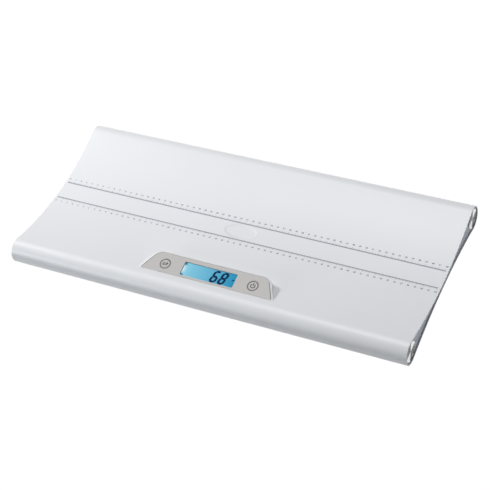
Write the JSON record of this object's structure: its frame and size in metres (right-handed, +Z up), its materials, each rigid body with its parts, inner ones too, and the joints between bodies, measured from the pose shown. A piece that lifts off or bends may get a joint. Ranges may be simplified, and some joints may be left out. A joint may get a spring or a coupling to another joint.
{
  "type": "digital baby weighing scale",
  "caption": "Long white infant scale tray with a shallow valley between two round edges, a raised display console with keys, and rubber-footed load cells under its ends.",
  "frame": {"origin": "on the floor plane under the middle of the tray's length and depth", "axes": "+X along the tray to the right end, +Y towards the rear edge, +Z up"},
  "size_m": [0.63, 0.285, 0.0431],
  "materials": {
    "tray_white": "satin",
    "cap_grey": "matte",
    "plate_grey": "matte",
    "key_grey": "satin",
    "window_clear": "polished",
    "lcd_blue": "polished",
    "light_guide": "satin",
    "board_green": "satin",
    "black_plastic": "matte",
    "holder_black": "matte",
    "disc_metal": "turned",
    "cell_metal": "brushed",
    "screw_metal": "satin",
    "contact_metal": "polished",
    "pad_rubber": "matte",
    "battery_green": "satin",
    "lead_grey": "matte"
  },
  "bodies": {
    "scale": {"tray_profile": "tray_white", "end_cap_left": "cap_grey", "end_cap_right": "cap_grey", "console_housing": "tray_white", "faceplate": "plate_grey", "display_window": "window_clear", "display_frame": "black_plastic", "lcd_panel": "lcd_blue", "backlight": "light_guide", "main_board": "board_green", "controller_chip": "black_plastic", "unit_switch": "black_plastic", "power_switch": "black_plastic", "battery_holder": "holder_black", "contact_bridge": "contact_metal", "contact_plus": "contact_metal", "contact_minus": "contact_metal", "battery_lead_plus": "lead_grey", "battery_lead_minus": "lead_grey", "cap_disc_front_left": "disc_metal", "load_cell_front_left": "cell_metal", "cell_spacer_front_left": "holder_black", "cell_screw_front_left": "screw_metal", "foot_front_left": "black_plastic", "foot_pad_front_left": "pad_rubber", "cell_lead_front_left": "lead_grey", "cap_disc_rear_left": "disc_metal", "load_cell_rear_left": "cell_metal", "cell_spacer_rear_left": "holder_black", "cell_screw_rear_left": "screw_metal", "foot_rear_left": "black_plastic", "foot_pad_rear_left": "pad_rubber", "cell_lead_rear_left": "lead_grey", "cap_disc_front_right": "disc_metal", "load_cell_front_right": "cell_metal", "cell_spacer_front_right": "holder_black", "cell_screw_front_right": "screw_metal", "foot_front_right": "black_plastic", "foot_pad_front_right": "pad_rubber", "cell_lead_front_right": "lead_grey", "cap_disc_rear_right": "disc_metal", "load_cell_rear_right": "cell_metal", "cell_spacer_rear_right": "holder_black", "cell_screw_rear_right": "screw_metal", "foot_rear_right": "black_plastic", "foot_pad_rear_right": "pad_rubber", "cell_lead_rear_right": "lead_grey", "board_screw_1": "screw_metal", "battery_1": "battery_green", "board_screw_2": "screw_metal", "battery_2": "battery_green", "board_screw_3": "screw_metal", "battery_3": "battery_green", "board_screw_4": "screw_metal", "battery_4": "battery_green"},
    "unit_button": {"unit_key": "key_grey", "unit_plunger": "light_guide"},
    "power_button": {"power_key": "key_grey", "power_plunger": "light_guide"},
    "door": {"battery_door": "tray_white"}
  },
  "joints": [
    {"name": "unit_press", "type": "slide", "parent": "scale", "child": "unit_button", "axis": [0, 0.1392, -0.9903], "range_m": [0, 0.0006], "stiffness_N_per_m": 1500},
    {"name": "power_press", "type": "slide", "parent": "scale", "child": "power_button", "axis": [0, 0.1392, -0.9903], "range_m": [0, 0.0006], "stiffness_N_per_m": 1500},
    {"name": "door_hinge", "type": "hinge", "parent": "scale", "child": "door", "pos_m": [0, -0.1137, 0.00645], "axis": [1, 0, 0], "range_deg": [0, 75]}
  ]
}
